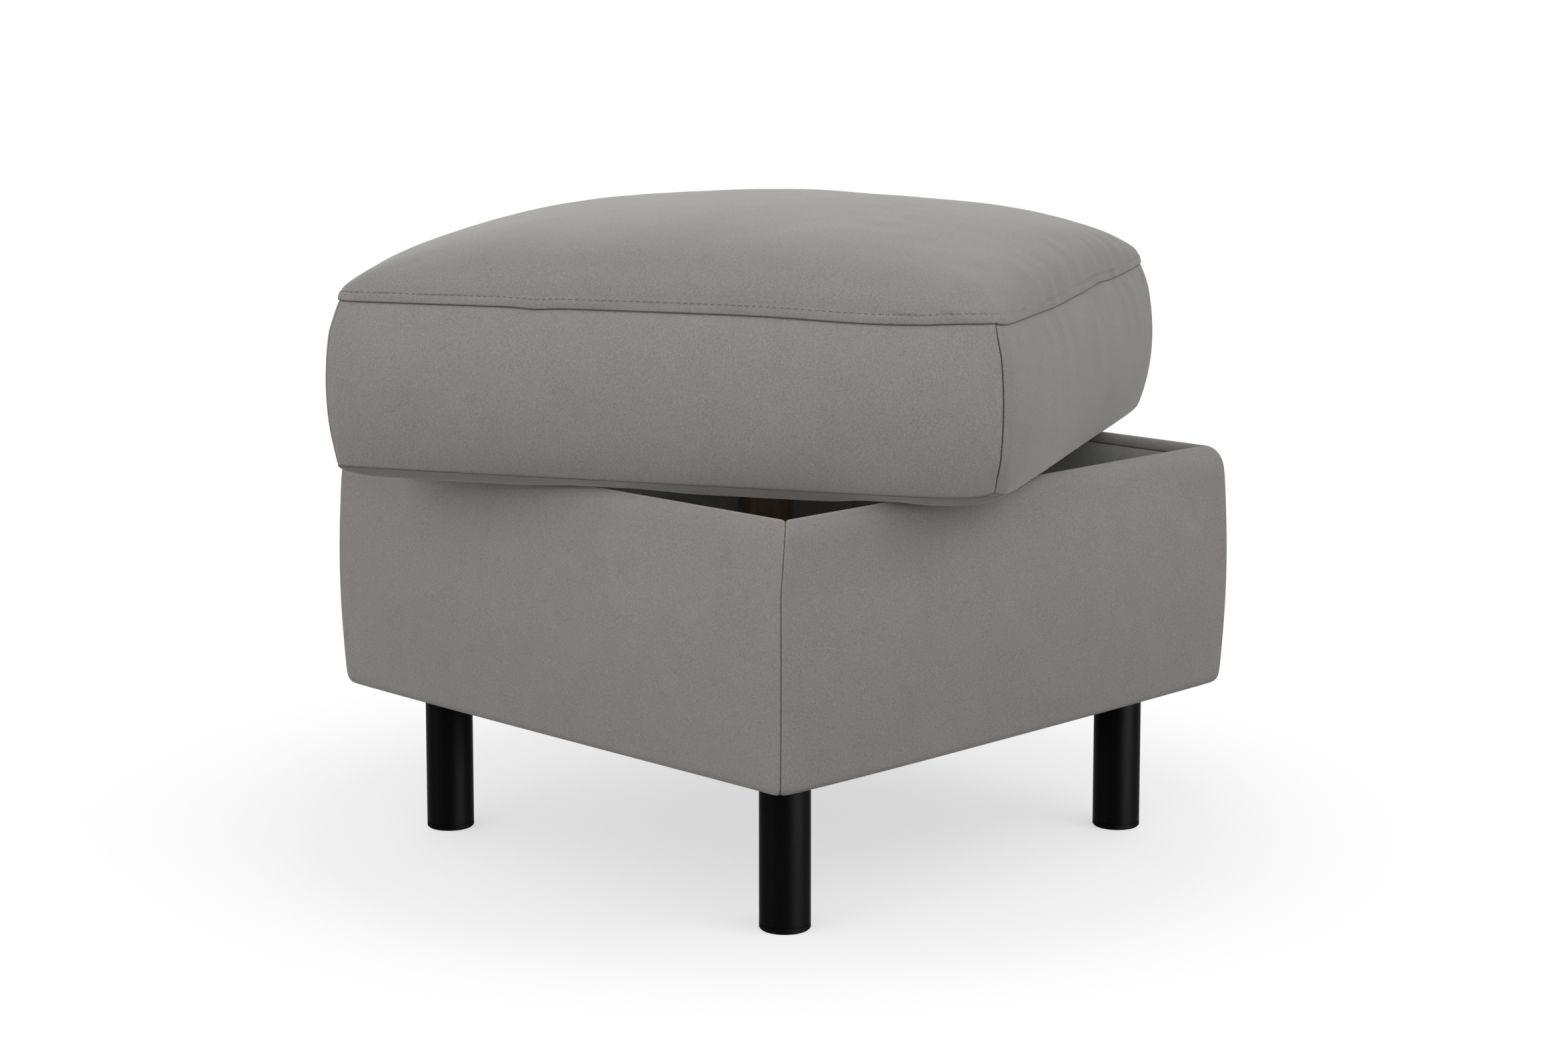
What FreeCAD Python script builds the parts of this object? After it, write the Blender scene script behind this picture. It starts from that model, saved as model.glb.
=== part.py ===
"""Square storage ottoman: an upholstered box on four tube legs under a loose box cushion.

Millimetres, +Z up. The origin is on the floor under the middle of the seat cushion, which lies
turned on the box's rim. The box stands square to X and Y, a little off that point.
"""
import FreeCAD, Part
import Sketcher
import math
import os

V = FreeCAD.Vector
doc = FreeCAD.newDocument("StorageOttoman")

# ---------------------------------------------------------------- driving sizes
SIZES = (
    ("base_shift_x", 4, "box centre from the cushion's axis, along X"),
    ("base_shift_y", -18, "box centre from the cushion's axis, along Y"),
    ("box_width", 520, "square of side boards, over their outer faces"),
    ("board_thick", 16, "side board"),
    ("box_low", 127, "underside of the wooden box above the floor"),
    ("board_height", 195, "side board, bottom edge to top edge"),
    ("floor_thick", 15, "floor board that carries the legs"),
    ("batten_width", 60, "corner batten, along the wall it lies on"),
    ("batten_thick", 16, "corner batten, off the wall"),
    ("batten_drop", 12, "top of a batten below the top of the boards"),
    ("lining_thick", 2, "stiff lining sheet"),
    ("dust_thick", 0.8, "dust cover under the box"),
    ("dust_margin", 15, "edge of the dust cover inside the boards' outer faces"),
    ("fit_gap", 0.3, "clearance between pieces that are laid beside each other"),
    ("ply_gap", 0.5, "clearance between a cover and what it is pulled over"),
    ("cover_thick", 1.5, "upholstery fabric with its backing"),
    ("pad_edge", 6, "side padding at its edges"),
    ("pad_crown", 8, "extra side padding in the middle of a face"),
    ("low_bow", 3, "how far the bottom edge bows out in the middle"),
    ("corner_bow", 2.6, "how far a corner seam bows out at mid height"),
    ("rim_pad", 6.4, "wadding on top of the boards"),
    ("rim_soft", 12, "rounding of the rim, outwards"),
    ("rim_fall", 22, "rounding of the rim, downwards on the outside"),
    ("rim_lean", 2, "crest of the rim outside the middle of the board"),
    ("hem_width", 14, "cover turned in under the box, from the boards' outer faces"),
    ("low_soft", 5, "rounding of the bottom edge, outwards"),
    ("low_rise", 10, "rounding of the bottom edge, upwards"),
    ("leg_inset", 57.5, "leg axis inside the boards' outer faces, both ways"),
    ("leg_dia", 40, "leg tube"),
    ("leg_wall", 1.5, "leg tube wall"),
    ("plate_thick", 3, "disc welded into the top of a leg"),
    ("stud_dia", 8, "threaded stud on the disc"),
    ("stud_reach", 14, "stud above the underside of the floor board"),
    ("thread_gap", 0.05, "radial clearance of the stud in its nut"),
    ("nut_dia", 10, "barrel of the tee nut"),
    ("nut_deep", 12, "tee nut over all"),
    ("nut_flange_dia", 22, "flange of the tee nut"),
    ("nut_flange_thick", 1.5, "flange of the tee nut"),
    ("stud_hole_dia", 12, "hole in the dust cover round a stud"),
    ("glide_height", 4.6, "visible height of the glide cap"),
    ("glide_groove", 0.4, "fine ring between the glide cap and the tube"),
    ("glide_round", 1.2, "rounding at the foot of the glide cap"),
    ("glide_plug", 14, "glide cap inside the tube"),
    ("cushion_turn_angle", 27, "degrees the cushion lies turned on the box"),
    ("cushion_over", 11, "cushion seam outside the boards' outer faces when square"),
    ("rest_gap", 0.3, "cushion above the rim it rests on"),
    ("seam_lift", 9.3, "lower cushion seam above the cushion's underside"),
    ("boxing_height", 131.5, "between the two seams round the cushion"),
    ("boxing_bulge", 12, "how far the boxing swells out in the middle of a side"),
    ("crown_height", 75, "top of the cushion above its upper seam"),
    ("crown_power", 1.9, "how square the crown is in plan"),
    ("crown_edge_power", 0.31, "how steeply the crown leaves the seam"),
    ("belly_power", 14, "how square the underside is in plan"),
    ("belly_edge_power", 0.5, "how steeply the underside leaves the seam"),
    ("under_pad", 12, "wadding under the cushion's board"),
    ("seat_board_thick", 9, "board inside the cushion"),
    ("seat_board_margin", 15, "board's edge inside the cushion seam"),
    ("seat_board_round", 30, "corner radius of the board in the cushion"),
)
sizes = doc.addObject("Spreadsheet::Sheet", "Sizes")
for row, (alias, value, meaning) in enumerate(SIZES, start=1):
    sizes.set(f"A{row}", meaning)
    sizes.set(f"B{row}", str(value))
    sizes.setAlias(f"B{row}", alias)
doc.recompute()


def size(alias):
    """A driving size as a plain number."""
    return float(sizes.get(alias))


# Places that several pieces share, as expressions on the sheet.
BOX_HALF = "Sizes.box_width / 2"
INNER_HALF = f"({BOX_HALF} - Sizes.board_thick)"
FLOOR_TOP = "(Sizes.box_low + Sizes.floor_thick)"
LEG_HALF = f"({BOX_HALF} - Sizes.leg_inset)"
DUST_LOW = "(Sizes.box_low - Sizes.dust_thick)"

SIDES = ("front", "right", "back", "left")          # outward -Y, +X, +Y, -X
CORNERS = ((-1, -1), (1, -1), (1, 1), (-1, 1))      # near left, then anticlockwise
subparts = []


def bind(thing, **expressions):
    """Tie properties to the sheet; a double underscore stands for a dot."""
    for name, expression in expressions.items():
        thing.setExpression(name.replace("__", "."), expression)


def named(thing, label):
    """Give a sub-part the name of its file and keep it for writing."""
    thing.Label = label
    subparts.append(thing)
    return thing


def place(thing, x="0", y="0", z="0"):
    """Place a sub-part by expressions measured from the box's centre on the floor."""
    bind(
        thing,
        Placement__Base__x=f"Sizes.base_shift_x + ({x})",
        Placement__Base__y=f"Sizes.base_shift_y + ({y})",
        Placement__Base__z=z,
    )


def block(label, low, extent):
    """A plain rectangular piece, from its lowest corner and its three lengths."""
    box = named(doc.addObject("Part::Box", label), label)
    bind(box, Length=extent[0], Width=extent[1], Height=extent[2])
    place(box, *low)
    return box


def origin_plane(body, role):
    """One of a body's own origin planes."""
    return next(plane for plane in body.Origin.OriginFeatures if plane.Role == role)


def flat_sketch(body, name, role):
    """A sketch on one of the body's own origin planes."""
    sketch = body.newObject("Sketcher::SketchObject", name)
    sketch.AttachmentSupport = [(origin_plane(body, role), "")]
    sketch.MapMode = "FlatFace"
    return sketch


def driven(sketch, expression, kind, *where):
    """A dimension of a sketch that follows an expression."""
    start = -1.0 if expression.startswith("-") else 1.0
    index = sketch.addConstraint(Sketcher.Constraint(kind, *where, start))
    sketch.setExpression(f"Constraints[{index}]", expression)


def polygon(sketch, corners):
    """A closed outline whose corners are (x, y) expressions."""
    count = len(corners)
    rough = [V(math.cos(math.tau * i / count), math.sin(math.tau * i / count)) for i in range(count)]
    for i in range(count):
        sketch.addGeometry(Part.LineSegment(rough[i], rough[(i + 1) % count]), False)
    for i in range(count):
        sketch.addConstraint(Sketcher.Constraint("Coincident", i, 2, (i + 1) % count, 1))
    for i, (x, y) in enumerate(corners):
        driven(sketch, x, "DistanceX", i, 1)
        driven(sketch, y, "DistanceY", i, 1)


def ring(sketch, x, y, diameter):
    """A circle at (x, y), all given as expressions."""
    circle = sketch.addGeometry(Part.Circle(V(1, 1, 0), V(0, 0, 1), 1), False)
    driven(sketch, x, "DistanceX", circle, 3)
    driven(sketch, y, "DistanceY", circle, 3)
    driven(sketch, diameter, "Diameter", circle)


def revolved(label, outline):
    """A body turned about Z from (radius, height) corners given as expressions."""
    body = named(doc.addObject("PartDesign::Body", label), label)
    sketch = flat_sketch(body, f"{label}_outline", "XZ_Plane")
    polygon(sketch, outline)
    turn = body.newObject("PartDesign::Revolution", f"{label}_turn")
    turn.Profile = sketch
    turn.ReferenceAxis = (sketch, ["V_Axis"])
    turn.Angle = 360
    return body


def rounded_plate(label, half, thick, holes=(), corner=None):
    """A square plate about its own centre, with round holes at (x, y, diameter) expressions."""
    body = named(doc.addObject("PartDesign::Body", label), label)
    sketch = flat_sketch(body, f"{label}_outline", "XY_Plane")
    polygon(sketch, [(f"{sx} * {half}", f"{sy} * {half}") for sx, sy in CORNERS])
    for hole in holes:
        ring(sketch, *hole)
    pad = body.newObject("PartDesign::Pad", f"{label}_pad")
    pad.Profile = sketch
    bind(pad, Length=thick)
    if corner:
        doc.recompute()
        upright = [
            f"Edge{i}" for i, edge in enumerate(pad.Shape.Edges, start=1)
            if edge.Curve.TypeId == "Part::GeomLine" and abs(edge.tangentAt(edge.FirstParameter).z) > 0.9
        ]
        fillet = body.newObject("PartDesign::Fillet", f"{label}_corners")
        fillet.Base = (pad, upright)
        bind(fillet, Radius=corner)
    return body


# ---------------------------------------------------------------- wooden box
def wooden_box():
    """Four boards round a floor board, with a batten lying on the long walls at each corner."""
    outer, inner = BOX_HALF, INNER_HALF
    long_board = ("Sizes.box_width", "Sizes.board_thick", "Sizes.board_height")
    short_board = ("Sizes.board_thick", f"2 * {inner}", "Sizes.board_height")
    block("side_board_front", (f"-{outer}", f"-{outer}", "Sizes.box_low"), long_board)
    block("side_board_back", (f"-{outer}", inner, "Sizes.box_low"), long_board)
    block("side_board_left", (f"-{outer}", f"-{inner}", "Sizes.box_low"), short_board)
    block("side_board_right", (inner, f"-{inner}", "Sizes.box_low"), short_board)
    batten = (
        "Sizes.batten_width",
        "Sizes.batten_thick",
        "Sizes.board_height - Sizes.floor_thick - Sizes.batten_drop",
    )
    for number, (sx, sy) in enumerate(CORNERS, start=1):
        x = f"-{inner}" if sx < 0 else f"{inner} - Sizes.batten_width"
        y = f"-{inner}" if sy < 0 else f"{inner} - Sizes.batten_thick"
        block(f"corner_batten_{number}", (x, y, FLOOR_TOP), batten)


def leg_points():
    """Where the leg axes stand, as expressions from the box's centre."""
    return [(f"{sx} * {LEG_HALF}", f"{sy} * {LEG_HALF}") for sx, sy in CORNERS]


def floor_and_dust_cover():
    """The floor board with a stepped hole for each tee nut, and the cover under it."""
    board = rounded_plate("floor_board", INNER_HALF, "Sizes.floor_thick")
    place(board, z="Sizes.box_low")
    for number, (x, y) in enumerate(leg_points(), start=1):
        for step, diameter, low in (
            ("barrel", "Sizes.nut_dia + 2 * Sizes.thread_gap", "0"),
            ("flange", "Sizes.nut_flange_dia + 2 * Sizes.thread_gap",
             "Sizes.floor_thick - Sizes.nut_flange_thick"),
        ):
            sketch = flat_sketch(board, f"{step}_{number}", "XY_Plane")
            sketch.setExpression("AttachmentOffset.Base.z", low)
            ring(sketch, x, y, diameter)
            cut = board.newObject("PartDesign::Pocket", f"{step}_cut_{number}")
            cut.Profile = sketch
            cut.Type = "ThroughAll"
            cut.Reversed = True
    holes = [(x, y, "Sizes.stud_hole_dia") for x, y in leg_points()]
    cover = rounded_plate(
        "dust_cover", f"({BOX_HALF} - Sizes.dust_margin)", "Sizes.dust_thick", holes
    )
    place(cover, z=DUST_LOW)


def linings():
    """Stiff sheets that line the cavity, cut to stand between the battens and on the floor sheet."""
    gap, thick = "Sizes.fit_gap", "Sizes.lining_thick"
    low = f"{FLOOR_TOP} + {thick}"
    height = f"Sizes.board_height - Sizes.floor_thick - {thick} - {gap}"
    between = f"({INNER_HALF} - Sizes.batten_width - {gap})"
    beside = f"({INNER_HALF} - Sizes.batten_thick - {gap})"
    block("lining_front", (f"-{between}", f"-{INNER_HALF}", low), (f"2 * {between}", thick, height))
    block("lining_back", (f"-{between}", f"{INNER_HALF} - {thick}", low), (f"2 * {between}", thick, height))
    block("lining_left", (f"-{INNER_HALF}", f"-{beside}", low), (thick, f"2 * {beside}", height))
    block("lining_right", (f"{INNER_HALF} - {thick}", f"-{beside}", low), (thick, f"2 * {beside}", height))
    sheet = named(doc.addObject("Part::Cut", "lining_floor"), "lining_floor")
    whole = doc.addObject("Part::Box", "lining_floor_sheet")
    bind(whole, Length=f"2 * {INNER_HALF}", Width=f"2 * {INNER_HALF}", Height=thick)
    bind(whole, Placement__Base__x=f"-{INNER_HALF}", Placement__Base__y=f"-{INNER_HALF}")
    notches = []
    for number, (sx, sy) in enumerate(CORNERS, start=1):
        notch = doc.addObject("Part::Box", f"lining_notch_{number}")
        wide, deep = f"(Sizes.batten_width + {gap})", f"(Sizes.batten_thick + {gap})"
        bind(notch, Length=wide, Width=deep, Height=thick)
        bind(
            notch,
            Placement__Base__x=f"-{INNER_HALF}" if sx < 0 else f"{INNER_HALF} - {wide}",
            Placement__Base__y=f"-{INNER_HALF}" if sy < 0 else f"{INNER_HALF} - {deep}",
        )
        notches.append(notch)
    corners = doc.addObject("Part::MultiFuse", "lining_notches")
    corners.Shapes = notches
    sheet.Base = whole
    sheet.Tool = corners
    place(sheet, z=FLOOR_TOP)


# ---------------------------------------------------------------- legs
def legs():
    """Tube legs with a glide cap below and a welded disc and stud that screws into a tee nut."""
    radius = "Sizes.leg_dia / 2"
    bore = f"({radius} - Sizes.leg_wall)"
    foot = "(Sizes.glide_height + Sizes.glide_groove)"
    top = f"({DUST_LOW} - Sizes.plate_thick)"
    plug = f"({bore} - Sizes.thread_gap)"
    stud = "Sizes.stud_dia / 2"
    stud_top = "Sizes.box_low + Sizes.stud_reach"
    nut_bore = f"({stud} + Sizes.thread_gap)"
    barrel = "Sizes.nut_dia / 2"
    flange = "Sizes.nut_flange_dia / 2"
    outlines = {
        "leg_tube": [(bore, foot), (radius, foot), (radius, top), (bore, top)],
        "leg_glide": [
            ("0", "0"),
            (f"{radius} - Sizes.glide_round", "0"),
            (radius, "Sizes.glide_round"),
            (radius, "Sizes.glide_height"),
            (plug, "Sizes.glide_height"),
            (plug, f"{foot} + Sizes.glide_plug"),
            ("0", f"{foot} + Sizes.glide_plug"),
        ],
        "leg_stud": [
            ("0", top),
            (radius, top),
            (radius, DUST_LOW),
            (stud, DUST_LOW),
            (stud, stud_top),
            ("0", stud_top),
        ],
        "tee_nut": [
            (nut_bore, f"{FLOOR_TOP} - Sizes.nut_deep"),
            (barrel, f"{FLOOR_TOP} - Sizes.nut_deep"),
            (barrel, f"{FLOOR_TOP} - Sizes.nut_flange_thick"),
            (flange, f"{FLOOR_TOP} - Sizes.nut_flange_thick"),
            (flange, FLOOR_TOP),
            (nut_bore, FLOOR_TOP),
        ],
    }
    for number, (x, y) in enumerate(leg_points(), start=1):
        for name, outline in outlines.items():
            place(revolved(f"{name}_{number}", outline), x, y)


# ---------------------------------------------------------------- soft surfaces
def pole_places(breaks):
    """Where a cubic's poles lie between breaks, for its parameter to keep step with the length."""
    knots = [breaks[0]] * 3 + list(breaks) + [breaks[-1]] * 3
    return [sum(knots[first:first + 3]) / 3 for first in range(1, len(breaks) + 3)]


def surface_over(grid, along, up):
    """A smooth surface with a grid of points as its control net, so it never overshoots them.

    It is made of one patch between each two breaks. Its degree follows from how many points there are.
    """
    surface = Part.BSplineSurface()
    degrees = [len(grid) - len(along) + 1, len(grid[0]) - len(up) + 1]
    repeats = [
        [degree + 1] + [1] * (len(breaks) - 2) + [degree + 1]
        for degree, breaks in zip(degrees, (along, up))
    ]
    surface.buildFromPolesMultsKnots(grid, *repeats, along, up, False, False, *degrees)
    return surface


def border(surface):
    """The four edges of a surface, in a fixed order."""
    u0, u1, v0, v1 = surface.bounds()
    return [surface.uIso(u0).toShape(), surface.uIso(u1).toShape(),
            surface.vIso(v0).toShape(), surface.vIso(v1).toShape()]


def solid_of(faces):
    """A solid from faces that close on each other."""
    shell = Part.makeShell(faces)
    shell.sewShape()
    solid = Part.makeSolid(Part.Shell(shell.Faces))
    if solid.Volume < 0:
        solid.reverse()
    return solid


def flat_face(edges):
    """The plane face inside a loop of edges, or None where they don't lie in one plane."""
    loop = Part.Wire(Part.__sortEdges__(edges))
    return Part.Face(loop) if loop.findPlane() else None


def strip(edge, facing):
    """The face between two edges that face each other: a plane where it can be, or else ruled."""
    ends = [Part.makeLine(a.Point, b.Point) for a, b in zip(edge.Vertexes, facing.Vertexes)]
    flat = flat_face([edge, facing, *ends])
    if flat is not None:
        return flat
    return Part.makeLoft([Part.Wire([edge]), Part.Wire([facing])], False, True).Faces[0]


def layer(outer, inner):
    """The solid between two surfaces whose edges face each other. The inner one may be a flat patch."""
    strips = [strip(edge, facing) for edge, facing in zip(border(outer), border(inner))]
    straight = inner.UDegree == inner.VDegree == 1
    back = flat_face(border(inner)) if straight else inner.toShape()
    return solid_of([outer.toShape(), back, *strips])


def soft(label, shape, turn=0.0, at=(0, 0, 0)):
    """Keep a modelled soft piece, turned about Z and then moved."""
    piece = named(doc.addObject("Part::Feature", label), label)
    piece.Shape = shape
    piece.Placement = FreeCAD.Placement(V(*at), FreeCAD.Rotation(V(0, 0, 1), turn))
    return piece


def inset_path(path, inset):
    """Move a (depth, height) path sideways, to the right of its direction."""
    moved = []
    for i, (n, z) in enumerate(path):
        n0, z0 = path[max(i - 1, 0)]
        n1, z1 = path[min(i + 1, len(path) - 1)]
        length = math.hypot(n1 - n0, z1 - z0)
        moved.append((n - inset * (z1 - z0) / length, z + inset * (n1 - n0) / length))
    return moved


# ---------------------------------------------------------------- upholstery of the box
STATIONS = [-1, -0.75, 0, 0.75, 1]  # breaks along a side, corner seam to corner seam
ENDS = [0, 1]                       # breaks of a flat patch
SPANS = (2, 3, 8, 6, 4)             # patches on the hem, foot, face, rim and turned-in edge
FACE_FIRST = sum(SPANS[:2])         # break where the face begins
RIM_FIRST = sum(SPANS[:3])          # break where the rim begins
TURN_FIRST = sum(SPANS[:4])         # break at the rim's crest


def rim_top():
    """Height of the rim's crest."""
    return (size("box_low") + size("board_height") + size("rim_pad")
            + size("ply_gap") + size("cover_thick"))


def arc(middle, reach, rise, start):
    """Length of a quarter of an ellipse, and its (depth, height) at a share of it."""
    def at(share):
        angle = math.radians(start + 90 * share)
        return middle[0] + reach * math.cos(angle), middle[1] + rise * math.sin(angle)
    return math.pi / 2 * math.hypot(reach, rise) / math.sqrt(2), at


def side_stretches(station):
    """Outer path of the cover at one station, as the (length, curve) of its five stretches.

    It goes from the hem under the box, round the foot, up the face, over the rim and inside.
    """
    half = size("box_width") / 2
    under = size("box_low") - size("cover_thick") - size("ply_gap")
    edge = half + size("pad_edge") + size("ply_gap") + size("cover_thick")
    hem = half - size("hem_width")
    crest = half - size("board_thick") / 2 + size("rim_lean")
    inside = half - size("board_thick") - size("lining_thick")
    fullness = 1 - abs(station) ** 4
    foot = edge - size("low_bow") * (1 - fullness)
    shoulder = crest + size("rim_soft")
    low, high = under + size("low_rise"), rim_top() - size("rim_fall")
    turned_in = size("rim_pad") + size("ply_gap") + size("cover_thick") - size("fit_gap")

    def flat(share):
        return hem + (foot - size("low_soft") - hem) * share, under

    def face(share):
        swell = math.sin(math.pi * share)
        bow = (size("corner_bow") + size("pad_crown") * fullness) * swell
        return foot + (shoulder - foot) * share + bow, low + (high - low) * share

    return [
        (edge - size("low_soft") - hem, flat),
        arc((foot - size("low_soft"), low), size("low_soft"), size("low_rise"), -90),
        (high - low, face),
        arc((crest, high), size("rim_soft"), size("rim_fall"), 0),
        arc((crest, rim_top() - turned_in), crest - inside, turned_in, 90),
    ]


def side_breaks():
    """Lengths up the side's path between its patches, even within each stretch."""
    breaks = [0.0]
    for (length, _), spans in zip(side_stretches(0), SPANS):
        start = breaks[-1]
        breaks += [start + length * step / spans for step in range(1, spans + 1)]
    return breaks


def side_path(station, lengths):
    """(depth, height) of the cover's outside at some lengths up a station's path."""
    stretches = side_stretches(station)
    path = []
    for at in lengths:
        number = 0
        while at > stretches[number][0] and number < len(stretches) - 1:
            at -= stretches[number][0]
            number += 1
        length, curve = stretches[number]
        path.append(curve(at / length))
    return path


def side_surface(inset, first=0, last=None, deepest=None):
    """The cover's surface on the front side, moved inwards, from one break up its path to another.

    No point of it lies further out than the deepest, where one is given.
    """
    up = side_breaks()[first:last]
    grid = []
    for station in pole_places(STATIONS):
        path = inset_path(side_path(station, pole_places(up)), inset)
        depths = [min(n, deepest or n) for n, _ in path]
        grid.append([V(station * n, -n, z) for n, (_, z) in zip(depths, path)])
    return surface_over(grid, STATIONS, up)


def side_pad():
    """Foam glued to a side board, crowned under the cover."""
    half = size("box_width") / 2
    low = size("box_low")
    high = low + size("board_height")
    outer = side_surface(size("cover_thick") + size("ply_gap"), FACE_FIRST, RIM_FIRST + 3)
    board = [[V(side * half, -half, z) for z in (low, high)] for side in (-1, 1)]
    return layer(outer, surface_over(board, ENDS, ENDS))


def rim_wadding():
    """Wadding that rounds the top edge of a side board."""
    half = size("box_width") / 2
    top = size("box_low") + size("board_height")
    inset = size("cover_thick") + size("ply_gap")
    outer = side_surface(inset, RIM_FIRST + 3, TURN_FIRST + 3, half)
    u0, u1, v0, v1 = outer.bounds()
    corners = [[outer.value(u, v) for v in (v0, v1)] for u in (u0, u1)]
    edge = [[V(corner.x, corner.y, top) for corner in row] for row in corners]
    return layer(outer, surface_over(edge, ENDS, ENDS))


def upholstery():
    """Padding, wadding and cover of the four sides."""
    at = (size("base_shift_x"), size("base_shift_y"), 0)
    layers = {
        "cover_panel": layer(side_surface(0), side_surface(size("cover_thick"))),
        "side_pad": side_pad(),
        "rim_wadding": rim_wadding(),
    }
    for name, shape in layers.items():
        for number, side in enumerate(SIDES):
            soft(f"{name}_{side}", shape.copy(), 90 * number, at)


# ---------------------------------------------------------------- seat cushion
PANEL_BREAKS = [-1, -0.935, -0.76, -0.43, 0, 0.43, 0.76, 0.935, 1]  # seam to seam
BOXING_BREAKS = [-1, -0.4, 0, 0.4, 1]                               # lower seam to upper seam


def seam_half():
    """Half the cushion, seam to seam."""
    return size("box_width") / 2 + size("cushion_over")


def seam_low():
    """Height of the cushion's underside, then of its lower seam."""
    under = rim_top() + size("rest_gap")
    return under, under + size("seam_lift")


def crowned(inset, height, rise, power, edge_power):
    """A square panel that swells by rise (down when negative) from its seam."""
    half = seam_half() - inset
    rise -= math.copysign(inset, rise)
    grid = []
    for u in pole_places(PANEL_BREAKS):
        row = []
        for v in pole_places(PANEL_BREAKS):
            fullness = (1 - abs(u) ** power) * (1 - abs(v) ** power)
            row.append(V(half * u, half * v, height + rise * max(fullness, 0) ** edge_power))
        grid.append(row)
    return surface_over(grid, PANEL_BREAKS, PANEL_BREAKS)


def boxing_surface(inset, low, high):
    """One side of the cushion between its seams, swollen outwards."""
    half = seam_half() - inset
    grid = []
    for station in pole_places(STATIONS):
        column = []
        for step in pole_places(BOXING_BREAKS):
            swell = size("boxing_bulge") * (1 - step ** 2) * (1 + (1 - abs(station) ** 4)) / 2
            n = half + swell
            column.append(V(station * n, -n, (low + high) / 2 + step * (high - low) / 2))
        grid.append(column)
    return surface_over(grid, STATIONS, BOXING_BREAKS)


def cushion_fill(inset, low, high, under):
    """Everything inside the cushion's cover, as one solid."""
    top = crowned(inset, high, size("crown_height"), size("crown_power"), size("crown_edge_power"))
    bottom = crowned(inset, low, under - low, size("belly_power"), size("belly_edge_power"))
    faces = [top.toShape(), bottom.toShape()]
    for number in range(4):
        side = boxing_surface(inset, low, high).toShape()
        side.rotate(V(0, 0, 0), V(0, 0, 1), 90 * number)
        faces.append(side)
    return solid_of(faces)


def seat_cushion():
    """Cover, board and foam of the loose cushion."""
    turn = size("cushion_turn_angle")
    thick = size("cover_thick")
    inset = thick + size("ply_gap")
    under, low = seam_low()
    high = low + size("boxing_height")
    crown = (size("crown_height"), size("crown_power"), size("crown_edge_power"))
    belly = (under - low, size("belly_power"), size("belly_edge_power"))
    soft("cushion_top_panel", layer(crowned(0, high, *crown), crowned(thick, high, *crown)), turn)
    soft("cushion_bottom_panel", layer(crowned(0, low, *belly), crowned(thick, low, *belly)), turn)
    boxing = layer(boxing_surface(0, low, high), boxing_surface(thick, low, high))
    for number, side in enumerate(SIDES):
        soft(f"cushion_boxing_{side}", boxing.copy(), turn + 90 * number)
    fill = cushion_fill(inset, low, high, under)
    wide = 4 * seam_half()
    split = under + inset + size("under_pad")
    below = Part.makeBox(wide, wide, split, V(-wide / 2, -wide / 2, 0))
    half = seam_half() - size("seat_board_margin")
    room = size("seat_board_thick")
    pocket = Part.makeBox(2 * half, 2 * half, room, V(-half, -half, split))
    upright = [edge for edge in pocket.Edges if abs(edge.tangentAt(edge.FirstParameter).z) > 0.9]
    pocket = pocket.makeFillet(size("seat_board_round"), upright)
    soft("cushion_under_pad", fill.common(below), turn)
    soft("cushion_foam", fill.cut(below).cut(pocket), turn)
    board = rounded_plate(
        "cushion_board", f"({BOX_HALF} + Sizes.cushion_over - Sizes.seat_board_margin)",
        "Sizes.seat_board_thick", corner="Sizes.seat_board_round",
    )
    board.Placement = FreeCAD.Placement(V(0, 0, split), FreeCAD.Rotation(V(0, 0, 1), turn))


# ---------------------------------------------------------------- build, check and write
def check():
    """Stop if any feature failed or any sub-part is empty or broken."""
    faults = [o.Name for o in doc.Objects if {"Invalid", "Error"} & set(o.State)]
    faults += [p.Label for p in subparts if p.Shape.isNull() or not p.Shape.isValid()]
    if faults:
        raise RuntimeError(f"failed: {faults}")


wooden_box()
floor_and_dust_cover()
linings()
legs()
upholstery()
seat_cushion()
doc.recompute()
check()
os.makedirs("parts", exist_ok=True)
for part in subparts:
    part.Shape.exportStep(f"parts/{part.Label}.step")
print(f"{len(subparts)} sub-parts written")
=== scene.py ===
"""Dresses a square storage ottoman: upholstered box, loose seat cushion, tube legs, lined cavity.

Metres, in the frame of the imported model. Soft pieces are grids of points made in numpy, then
meshed. Each side of a soft piece is made as if it faced -Y, and turned to where it belongs.
"""
import math

import bpy
import numpy as np
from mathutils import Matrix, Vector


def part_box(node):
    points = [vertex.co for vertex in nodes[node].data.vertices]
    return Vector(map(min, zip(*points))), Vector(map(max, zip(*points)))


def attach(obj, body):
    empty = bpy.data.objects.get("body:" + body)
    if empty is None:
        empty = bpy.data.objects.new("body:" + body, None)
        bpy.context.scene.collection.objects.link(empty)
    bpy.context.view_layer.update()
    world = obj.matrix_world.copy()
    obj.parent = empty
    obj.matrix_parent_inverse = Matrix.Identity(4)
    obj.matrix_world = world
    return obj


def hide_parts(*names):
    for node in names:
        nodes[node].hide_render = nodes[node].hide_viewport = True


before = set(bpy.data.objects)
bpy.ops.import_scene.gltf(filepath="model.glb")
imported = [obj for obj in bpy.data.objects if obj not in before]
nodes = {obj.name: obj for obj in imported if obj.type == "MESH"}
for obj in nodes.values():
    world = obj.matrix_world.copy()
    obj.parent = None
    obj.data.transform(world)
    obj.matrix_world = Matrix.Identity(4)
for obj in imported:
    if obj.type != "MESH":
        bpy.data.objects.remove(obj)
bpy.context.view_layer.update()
SIDES = ("front", "right", "back", "left")      # outward -Y, +X, +Y, -X before any turn
BOX_SEAM_SHADE, HIGH_SEAM_SHADE, LOW_SEAM_SHADE, STITCH_LINE_SHADE = 0.9, 0.8, 0.7, 0.38    # share of the seams' colour: painted shade in the seams' grooves
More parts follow.
